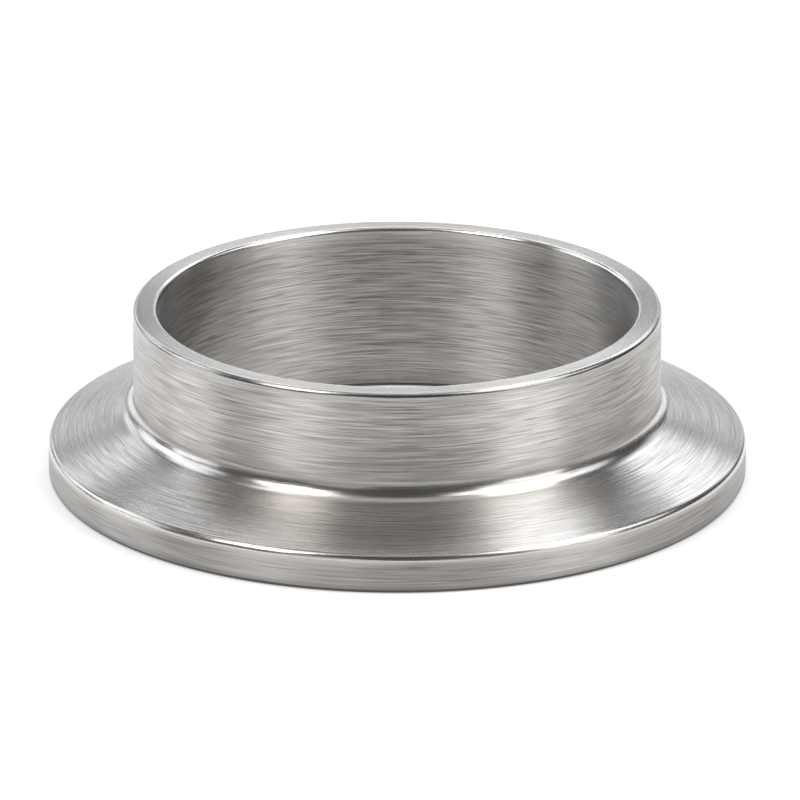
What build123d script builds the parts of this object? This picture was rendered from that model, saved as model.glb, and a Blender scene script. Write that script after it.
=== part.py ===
from build123d import *
import os
from math import radians, sqrt, tan

# Sanitary clamp ferrule, 1 1/2 in short weld pattern, turned from one piece of
# stainless bar. All sizes in millimetres, +Z up the weld stub.
# Origin: centre of the clamp (gasket) face, which lies on z = 0.

# ---- driving dimensions ----------------------------------------------------
flange_diameter = 50.5          # clamp flange, outside
tube_diameter = 38.1            # weld stub, outside
bore_diameter = 34.6            # straight through bore
overall_height = 12.5           # clamp face to weld end
edge_thickness = 2.7            # flange edge, to the sharp corner of the taper
taper_angle = 20.0              # clamp taper, measured from the clamp face

groove_centre_diameter = 43.5   # gasket groove, pitch circle of its section
groove_arc_radius = 2.36        # section radius of the groove
groove_depth = 1.6              # depth of the groove into the clamp face

root_radius = 1.4               # concave blend between taper and stub
flange_top_round = 0.5          # convex round between taper and flange edge
flange_bottom_round = 0.3       # flange edge to clamp face
weld_outer_round = 0.35         # weld end, outside
weld_inner_round = 0.3          # weld end, bore side
bore_bottom_round = 0.35        # clamp face, bore side
groove_lip_round = 0.2          # both lips of the gasket groove

# ---- derived ---------------------------------------------------------------
flange_r = flange_diameter / 2
tube_r = tube_diameter / 2
bore_r = bore_diameter / 2
groove_r = groove_centre_diameter / 2
# height at which the taper would meet the stub without its blend
taper_top = edge_thickness + (flange_r - tube_r) * tan(radians(taper_angle))
# the groove is an arc whose centre lies below the clamp face
groove_centre_z = groove_depth - groove_arc_radius
groove_half_width = sqrt(groove_arc_radius**2 - groove_centre_z**2)

os.makedirs("parts", exist_ok=True)

with BuildPart() as ferrule:
    # half section of the ring, drawn with radius across and height up
    with BuildSketch(Plane.XZ) as section:
        with BuildLine():
            Polyline(
                (bore_r, 0),
                (flange_r, 0),
                (flange_r, edge_thickness),
                (tube_r, taper_top),
                (tube_r, overall_height),
                (bore_r, overall_height),
                close=True,
            )
        make_face()

        # gasket groove: a round-bottomed channel in the clamp face
        with Locations((groove_r, groove_centre_z)):
            Circle(groove_arc_radius, mode=Mode.SUBTRACT)

        # every corner of the section is rounded, largest blend first
        rounds = [
            ((tube_r, taper_top), root_radius),
            ((flange_r, edge_thickness), flange_top_round),
            ((flange_r, 0), flange_bottom_round),
            ((tube_r, overall_height), weld_outer_round),
            ((bore_r, overall_height), weld_inner_round),
            ((bore_r, 0), bore_bottom_round),
            ((groove_r - groove_half_width, 0), groove_lip_round),
            ((groove_r + groove_half_width, 0), groove_lip_round),
        ]
        for corner, radius in rounds:
            fillet(section.vertices().sort_by_distance(corner)[0], radius)

    revolve(axis=Axis.Z)

ferrule.part.label = "ferrule"
export_step(ferrule.part, "parts/ferrule.step")

print("solids", len(ferrule.solids()), "valid", ferrule.part.is_valid)
print("volume mm3", round(ferrule.part.volume, 2), "size", ferrule.part.bounding_box().size)
for face in ferrule.faces().sort_by(Axis.Z):
    size = face.bounding_box().size
    print(face.geom_type, "across", round(size.X, 3), "high", round(size.Z, 3), "mid z", round(face.center().Z, 3))
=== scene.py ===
from math import atan2, cos, pi, radians, sin, sqrt, tan

import bpy
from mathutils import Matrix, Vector


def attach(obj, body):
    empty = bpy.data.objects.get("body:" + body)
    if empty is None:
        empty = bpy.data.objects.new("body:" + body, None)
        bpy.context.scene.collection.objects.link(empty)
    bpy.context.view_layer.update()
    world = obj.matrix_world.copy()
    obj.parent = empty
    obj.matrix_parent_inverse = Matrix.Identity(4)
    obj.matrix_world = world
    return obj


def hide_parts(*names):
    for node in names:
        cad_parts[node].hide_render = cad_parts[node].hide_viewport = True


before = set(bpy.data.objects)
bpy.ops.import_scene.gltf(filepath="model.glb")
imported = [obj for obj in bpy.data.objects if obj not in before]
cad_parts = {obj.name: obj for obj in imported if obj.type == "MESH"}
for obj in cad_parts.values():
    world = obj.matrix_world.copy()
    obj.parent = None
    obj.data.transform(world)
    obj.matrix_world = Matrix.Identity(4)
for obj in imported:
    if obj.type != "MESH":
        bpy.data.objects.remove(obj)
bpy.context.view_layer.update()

# ---------------------------------------------------------------- dimensions
# The same section as the CAD node, in metres.
MM = 0.001
FLANGE_R, TUBE_R, BORE_R, HEIGHT = 25.25 * MM, 19.05 * MM, 17.3 * MM, 12.5 * MM
EDGE_T, TAPER = 2.7 * MM, radians(20.0)
GROOVE_R, GROOVE_ARC, GROOVE_DEPTH = 21.75 * MM, 2.36 * MM, 1.6 * MM
ROOT, TOP_ROUND, LOW_ROUND = 1.4 * MM, 0.5 * MM, 0.3 * MM
WELD_OUT, WELD_IN, BORE_LOW, LIP = 0.35 * MM, 0.3 * MM, 0.35 * MM, 0.2 * MM

SEGMENTS = 480


def arc(cx, cz, r, a0, a1, n):
    """Points on an arc of the section, with outward normals; angles in radians from +r."""
    out = []
    for i in range(n + 1):
        a = a0 + (a1 - a0) * i / n
        out.append((cx + r * cos(a), cz + r * sin(a), cos(a), sin(a)))
    return out


def concave(cx, cz, r, a0, a1, n):
    """The same for a hollow arc, whose normals point at its centre."""
    return [(x, z, -nx, -nz) for x, z, nx, nz in arc(cx, cz, r, a0, a1, n)]


def line(p, q, n, nx, nz):
    return [(p[0] + (q[0] - p[0]) * i / n, p[1] + (q[1] - p[1]) * i / n, nx, nz) for i in range(n + 1)]


def section():
    """The closed section as zones: (name, [(r, z, normal r, normal z)...]), anticlockwise from the bore's foot."""
    z3 = EDGE_T + TOP_ROUND * tan(TAPER) - TOP_ROUND / cos(TAPER)
    zc = EDGE_T + (FLANGE_R - TUBE_R - ROOT) * tan(TAPER) + ROOT / cos(TAPER)
    gz = GROOVE_DEPTH - GROOVE_ARC
    # the lip rounds touch z = 0 from above and the groove's arc from outside
    lip_dx = sqrt((GROOVE_ARC + LIP) ** 2 - (LIP - gz) ** 2)
    lip_a = atan2(LIP - gz, lip_dx)
    tx, tz = FLANGE_R - TOP_ROUND + TOP_ROUND * sin(TAPER), z3 + TOP_ROUND * cos(TAPER)
    rx, rz = TUBE_R + ROOT - ROOT * sin(TAPER), zc - ROOT * cos(TAPER)
    return [
        ("bore_low", arc(BORE_R + BORE_LOW, BORE_LOW, BORE_LOW, pi, 1.25 * pi, 5)),
        ("bore_foot", arc(BORE_R + BORE_LOW, BORE_LOW, BORE_LOW, 1.25 * pi, 1.5 * pi, 5)),
        ("face_in", line((BORE_R + BORE_LOW, 0), (GROOVE_R - lip_dx, 0), 3, 0, -1)),
        ("lip_in", arc(GROOVE_R - lip_dx, LIP, LIP, -pi / 2, -lip_a, 6)),
        ("groove", concave(GROOVE_R, gz, GROOVE_ARC, pi - lip_a, lip_a, 20)),
        ("lip_out", arc(GROOVE_R + lip_dx, LIP, LIP, pi + lip_a, 1.5 * pi, 6)),
        ("face_out", line((GROOVE_R + lip_dx, 0), (FLANGE_R - LOW_ROUND, 0), 2, 0, -1)),
        ("edge_foot", arc(FLANGE_R - LOW_ROUND, LOW_ROUND, LOW_ROUND, -pi / 2, -pi / 4, 4)),
        ("edge_low", arc(FLANGE_R - LOW_ROUND, LOW_ROUND, LOW_ROUND, -pi / 4, 0, 4)),
        ("edge", line((FLANGE_R, LOW_ROUND), (FLANGE_R, z3), 5, 1, 0)),
        ("edge_top", arc(FLANGE_R - TOP_ROUND, z3, TOP_ROUND, 0, pi / 2 - TAPER, 12)),
        ("taper", line((tx, tz), (rx, rz), 10, sin(TAPER), cos(TAPER))),
        ("root", concave(TUBE_R + ROOT, zc, ROOT, 1.5 * pi - TAPER, pi + 0.25, 16)),
        ("root_top", concave(TUBE_R + ROOT, zc, ROOT, pi + 0.25, pi, 4)),
        ("tube", line((TUBE_R, zc), (TUBE_R, HEIGHT - WELD_OUT), 10, 1, 0)),
        ("weld_low", arc(TUBE_R - WELD_OUT, HEIGHT - WELD_OUT, WELD_OUT, 0, pi / 4, 5)),
        ("weld_out", arc(TUBE_R - WELD_OUT, HEIGHT - WELD_OUT, WELD_OUT, pi / 4, pi / 2, 5)),
        ("weld_face", line((TUBE_R - WELD_OUT, HEIGHT), (BORE_R + WELD_IN, HEIGHT), 3, 0, 1)),
        ("weld_in", arc(BORE_R + WELD_IN, HEIGHT - WELD_IN, WELD_IN, pi / 2, pi, 8)),
        ("bore", line((BORE_R, HEIGHT - WELD_IN), (BORE_R, BORE_LOW), 12, -1, 0)),
    ]


# How far each zone is from the brushed finish (0) towards the bright turned rounds (1).
POLISH = {"bore_low": 1, "bore_foot": 1, "lip_in": 1, "groove": 0.75, "lip_out": 1, "edge_foot": 1, "edge_low": 1,
          "edge_top": 1, "root": 1, "root_top": 1, "weld_low": 1, "weld_out": 1, "weld_in": 1}
# Painted light and shade, a factor on each zone's colour: painted shadow in the dark lines at the feet of the bore
# and of the flange edge, painted shade in the bore, on the flange edge, under the weld rim (weld_low) and at the
# top of the root under the tube, the tube a touch darker, and a painted highlight on the inner rim round
# (weld_in).
PAINTED_LIGHT_AND_SHADE = {"bore": 0.76, "bore_low": 0.12, "bore_foot": 0.05, "edge_foot": 0.05, "edge_low": 0.15, "edge": 0.75,
        "tube": 0.98, "root_top": 0.52, "weld_low": 0.68, "weld_in": 1.3}
# How strong the brushing is.
GRAIN = {"tube": 0.97, "taper": 0.83, "edge": 0.66, "bore": 1.04, "weld_face": 0.3}


def lathe(name, zones, segments, slots):
    """A closed ring turned from the section, with exact normals.

    Each face corner carries section_mm, the distance along the section, its zone's finish (polish and grain) and
    its zone's painted light and shade factor."""
    rings, spans = [], []
    for zone, pts in zones:
        for i, p in enumerate(pts):
            if i:
                spans.append(zone)
            if i or not rings:
                rings.append(p)
    rings.pop()                                # the last point is the first one again
    n = len(rings)
    dist = [0.0]
    for i in range(n):
        a, b = rings[i], rings[(i + 1) % n]
        dist.append(dist[-1] + sqrt((a[0] - b[0]) ** 2 + (a[1] - b[1]) ** 2) / MM)
    # the polish and grain of the finish, and the painted light and shade factor
    finish_and_painted_light = {}                                # a value for each ring, halfway where two zones meet
    for att, table, other in (("polish", POLISH, 0.0), ("painted_light_and_shade", PAINTED_LIGHT_AND_SHADE, 1.0), ("grain", GRAIN, 0.25)):
        v = [table.get(z, other) for z in spans]
        finish_and_painted_light[att] = [0.5 * (v[i - 1] + v[i]) for i in range(n)]
    verts, normals = [], []
    for r, z, nr, nz in rings:
        for s in range(segments):
            t = 2 * pi * s / segments
            verts.append((r * cos(t), r * sin(t), z))
            normals.append((nr * cos(t), nr * sin(t), nz))
    faces, mats = [], []
    corners = {"section_mm": [], "polish": [], "painted_light_and_shade": [], "grain": []}
    for i in range(n):
        j = (i + 1) % n
        for s in range(segments):
            u = (s + 1) % segments
            faces.append((i * segments + s, i * segments + u, j * segments + u, j * segments + s))
            mats.append(slots.get(spans[i], 0))
            corners["section_mm"] += [dist[i], dist[i], dist[i + 1], dist[i + 1]]
            for att, v in finish_and_painted_light.items():
                corners[att] += [v[i], v[i], v[j], v[j]]
    mesh = bpy.data.meshes.new(name)
    mesh.from_pydata(verts, [], faces)
    mesh.polygons.foreach_set("material_index", mats)
    mesh.polygons.foreach_set("use_smooth", [True] * len(faces))
    for att, values in corners.items():
        mesh.attributes.new(att, "FLOAT", "CORNER").data.foreach_set("value", values)
    mesh.update()
    mesh.normals_split_custom_set_from_vertices(normals)
    obj = bpy.data.objects.new(name, mesh)
    bpy.context.collection.objects.link(obj)
    return obj


# ---------------------------------------------------------------- materials
class Nodes:
    """Small helper for building a node tree."""

    def __init__(self, tree):
        self.tree = tree

    def add(self, kind, **values):
        node = self.tree.nodes.new(kind)
        for key, value in values.items():
            setattr(node, key, value)
        return node

    def link(self, a, b):
        self.tree.links.new(a, b)

    def put(self, socket, value):
        if isinstance(value, bpy.types.NodeSocket):
            self.link(value, socket)
        else:
            socket.default_value = value

    def math(self, op, a, b=0.0, c=0.0, clamp=False):
        node = self.add("ShaderNodeMath", operation=op, use_clamp=clamp)
        for socket, value in zip(node.inputs, (a, b, c)):
            self.put(socket, value)
        return node.outputs[0]

    def ramp(self, value, lo, hi, to_lo=0.0, to_hi=1.0):
        node = self.add("ShaderNodeMapRange")
        node.interpolation_type = "SMOOTHSTEP"
        for key, v in (("Value", value), ("From Min", lo), ("From Max", hi), ("To Min", to_lo), ("To Max", to_hi)):
            self.put(node.inputs[key], v)
        return node.outputs[0]

    def streaks(self, around, along, wraps, per_mm, detail, seed):
        """Noise drawn out around the axis: wraps sets the length of a stroke, per_mm how close they lie."""
        scale = self.add("ShaderNodeVectorMath", operation="SCALE")
        self.link(around, scale.inputs[0])
        scale.inputs["Scale"].default_value = wraps
        noise = self.add("ShaderNodeTexNoise", noise_dimensions="4D")
        self.link(scale.outputs[0], noise.inputs["Vector"])
        self.link(self.math("MULTIPLY_ADD", along, per_mm, seed), noise.inputs["W"])
        noise.inputs["Scale"].default_value = 1.0
        noise.inputs["Detail"].default_value = detail
        noise.inputs["Roughness"].default_value = 0.55
        return noise.outputs["Fac"]


def steel(name, base, rough, rough_round, aniso, depth, contrast, seed):
    """Stainless steel brushed around its axis, brighter and smoother on the turned rounds, with each zone's
    painted light and shade multiplied into its colour.
    """
    mat = bpy.data.materials.new(name)
    mat.use_nodes = True
    n = Nodes(mat.node_tree)
    shader = mat.node_tree.nodes["Principled BSDF"]
    shader.inputs["Metallic"].default_value = 1.0
    shader.inputs["Anisotropic"].default_value = aniso
    shader.inputs["Anisotropic Rotation"].default_value = 0.25
    tangent = n.add("ShaderNodeTangent", direction_type="RADIAL", axis="Z")
    n.link(tangent.outputs[0], shader.inputs["Tangent"])

    coords = n.add("ShaderNodeTexCoord")
    flat = n.add("ShaderNodeVectorMath", operation="MULTIPLY")
    n.link(coords.outputs["Object"], flat.inputs[0])
    flat.inputs[1].default_value = (1, 1, 0)
    unit = n.add("ShaderNodeVectorMath", operation="NORMALIZE")
    n.link(flat.outputs[0], unit.inputs[0])
    around = unit.outputs[0]
    along, polish, painted_light_and_shade, grain = (
        n.add("ShaderNodeAttribute", attribute_name=att).outputs["Fac"]
        for att in ("section_mm", "polish", "painted_light_and_shade", "grain"))

    fine = n.streaks(around, along, 5.5, 13.0, 0.0, seed)
    mid = n.streaks(around, along, 3.2, 5.5, 2.0, seed + 31.7)
    strokes = n.ramp(n.streaks(around, along, 9.0, 12.0, 0.0, seed + 77.1), 0.56, 0.68)
    broad = n.streaks(around, along, 1.3, 0.45, 1.0, seed + 140.3)

    # one signed field for the brushing, about -1 to 1, fainter where the finish is brighter
    field = n.math("MULTIPLY_ADD", fine, 4.2, -2.1)
    field = n.math("ADD", field, n.math("MULTIPLY_ADD", mid, 0.6, -0.3))
    field = n.math("SUBTRACT", field, n.math("MULTIPLY", strokes, 0.8))
    field = n.math("MULTIPLY", field, grain)

    shade = n.math("MULTIPLY_ADD", field, contrast, 1.0)
    shade = n.math("ADD", shade, n.math("MULTIPLY_ADD", broad, 0.12, -0.06))
    # painted light and shade: each zone's factor darkens the colour where shade falls and brightens it for a
    # painted highlight on the inner rim round
    shade = n.math("MULTIPLY", shade, painted_light_and_shade)
    colour = n.add("ShaderNodeVectorMath", operation="SCALE")
    colour.inputs[0].default_value = base
    n.link(shade, colour.inputs["Scale"])
    n.link(colour.outputs[0], shader.inputs["Base Color"])

    roughness = n.math("MULTIPLY_ADD", polish, rough_round - rough, rough)
    roughness = n.math("MULTIPLY_ADD", field, -0.04, roughness)
    roughness = n.math("ADD", roughness, n.math("MULTIPLY_ADD", broad, 0.06, -0.03), clamp=True)
    n.link(roughness, shader.inputs["Roughness"])

    bump = n.add("ShaderNodeBump")
    bump.inputs["Strength"].default_value = 1.0
    bump.inputs["Distance"].default_value = depth
    n.link(field, bump.inputs["Height"])
    n.link(bump.outputs[0], shader.inputs["Normal"])
    return mat


# ---------------------------------------------------------------- the ferrule
zones = section()
WALL, FACE, ROUND, UNDERSIDE = range(4)
ring = lathe("ferrule_ring", zones, SEGMENTS, {
    "edge": WALL, "tube": WALL, "bore": WALL, "taper": FACE, "weld_face": FACE,
    "edge_top": ROUND, "edge_low": ROUND, "edge_foot": ROUND, "root": ROUND, "root_top": ROUND,
    "weld_low": ROUND, "weld_out": ROUND, "weld_in": ROUND, "bore_low": ROUND, "bore_foot": ROUND,
    "groove": UNDERSIDE, "lip_in": UNDERSIDE, "lip_out": UNDERSIDE, "face_in": UNDERSIDE, "face_out": UNDERSIDE})
STEEL = (0.613, 0.587, 0.563)
for finish_and_painted_light in [
    # name, colour, roughness brushed and round, anisotropy, bump depth, contrast, seed
    ("steel_wall", STEEL, 0.42, 0.22, 0.98, 8e-6, 0.22, 3.0),
    ("steel_face", STEEL, 0.28, 0.22, 0.90, 3.5e-6, 0.24, 3.0),
    ("steel_round", STEEL, 0.28, 0.22, 0.55, 6e-6, 0.22, 3.0),
    ("steel_underside", STEEL, 0.36, 0.22, 0.80, 7e-6, 0.25, 9.0),
]:
    ring.data.materials.append(steel(*finish_and_painted_light))
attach(ring, "root")
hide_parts("ferrule")

# ---------------------------------------------------------------- floor
floor_mesh = bpy.data.meshes.new("floor")
S = 3.0
floor_mesh.from_pydata([(-S, -S, 0), (S, -S, 0), (S, S, 0), (-S, S, 0)], [], [(0, 1, 2, 3)])
floor = bpy.data.objects.new("floor", floor_mesh)
bpy.context.collection.objects.link(floor)
floor_mat = bpy.data.materials.new("floor")
floor_mat.use_nodes = True
floor_bsdf = floor_mat.node_tree.nodes["Principled BSDF"]
floor_bsdf.inputs["Base Color"].default_value = (0.8, 0.8, 0.8, 1)
floor_bsdf.inputs["Roughness"].default_value = 1.0
floor_bsdf.inputs["Specular IOR Level"].default_value = 0.0
floor_bsdf.inputs["Emission Color"].default_value = (1, 1, 1, 1)
# a faint glow keeps the floor white; it grows outside the lights, so that a low view meets no grey horizon
glow = Nodes(floor_mat.node_tree)
reach = glow.add("ShaderNodeVectorMath", operation="LENGTH")
glow.link(glow.add("ShaderNodeTexCoord").outputs["Object"], reach.inputs[0])
glow.link(glow.ramp(reach.outputs["Value"], 0.30, 1.0, 0.4, 1.02), floor_bsdf.inputs["Emission Strength"])
floor_mesh.materials.append(floor_mat)

# ---------------------------------------------------------------- camera
# Distances in mm; azimuths below are from the camera's side, positive towards +X.
F_PX, D, EL, PITCH, CX = 7717.0, 560.0, radians(20.409), radians(19.910), 397.30
cam_data = bpy.data.cameras.new("camera")
cam_data.sensor_width = 36.0
cam_data.lens = F_PX / 800 * 36
cam_data.shift_x = (400 - CX) / 800
cam_data.clip_start = 0.01
cam = bpy.data.objects.new("camera", cam_data)
bpy.context.collection.objects.link(cam)
cam.location = (0, -D * cos(EL) * MM, D * sin(EL) * MM)
cam.rotation_euler = (pi / 2 - PITCH, 0, 0)
bpy.context.scene.camera = cam

# ---------------------------------------------------------------- soft studio lights
AIM = Vector((0, 0, 6 * MM))


def softbox(name, az, el, wide, high, radiance, colour=(1, 1, 1), distance=1.0):
    """A rectangular softbox facing the object; its place and its size are angles in degrees."""
    a, e = radians(az), radians(el)
    at = Vector((cos(e) * sin(a), -cos(e) * cos(a), sin(e))) * distance + AIM
    data = bpy.data.lights.new(name, "AREA")
    data.shape = "RECTANGLE"
    data.size = 2 * distance * tan(radians(wide) / 2)
    data.size_y = 2 * distance * tan(radians(high) / 2)
    data.energy = radiance * pi * data.size * data.size_y
    data.color = colour
    light = bpy.data.objects.new(name, data)
    light.location = at
    light.rotation_euler = (AIM - at).to_track_quat("-Z", "Y").to_euler()
    light.visible_camera = False
    bpy.context.collection.objects.link(light)
    return light


for spec in [
    # name, azimuth, elevation, width, height, radiance; those behind the object are a little cooler
    ("key_high", 70, 55, 40, 22, 2.8),
    ("key_mid", 62, 37, 36, 16, 2.2),
    ("right_high", 112, 65, 32, 14, 2.6),
    ("right_side", 98, 36, 18, 16, 1.9),
    ("right_low", 60, 16, 27, 16, 2.25),
    ("right_back", 142, 26, 18, 26, 0.8),
    ("back_right", 156, 35, 28, 10, 1.6),
    ("back_right_low", 159, 26, 24, 8, 1.4),
    ("back_mid", 180, 32, 18, 14, 1.9),
    ("back_high", 178, 56, 30, 16, 1.5),
    ("back_low", 180, 12, 54, 14, 0.8),
    ("back_left_high", -158, 45, 14, 9, 1.7),
    ("back_left_low", -158, 29, 20, 9, 1.3),
    ("left_rear", -149, 16, 14, 16, 1.1),
    ("left_back", -131, 17, 16, 22, 1.6),
    ("left_side", -115, 25, 16, 20, 1.9),
    ("left_front", -97, 31, 14, 16, 1.6),
    ("left_mid", -121, 41, 22, 12, 1.7),
    ("left_foot", -95, 9, 26, 12, 2.0),
    ("left_high", -80, 66, 34, 14, 1.6),
    ("front_left", -56, 49, 20, 20, 7.6),
    ("front_low", -24, 8, 26, 10, 0.9),
    ("top", 0, 86, 30, 24, 0.6),
]:
    softbox(*spec, colour=(0.965, 1.0, 1.04) if abs(spec[1]) > 90 else (1.0, 0.995, 0.985))

world = bpy.data.worlds.new("studio")
bpy.context.scene.world = world
world.use_nodes = True
w = Nodes(world.node_tree)
back = world.node_tree.nodes["Background"]
path = w.add("ShaderNodeLightPath")
back.inputs["Color"].default_value = (1, 1, 1, 1)
w.link(w.math("MULTIPLY_ADD", path.outputs["Is Camera Ray"], 0.90, 0.08), back.inputs["Strength"])
bpy.context.scene.view_settings.view_transform = "Standard"
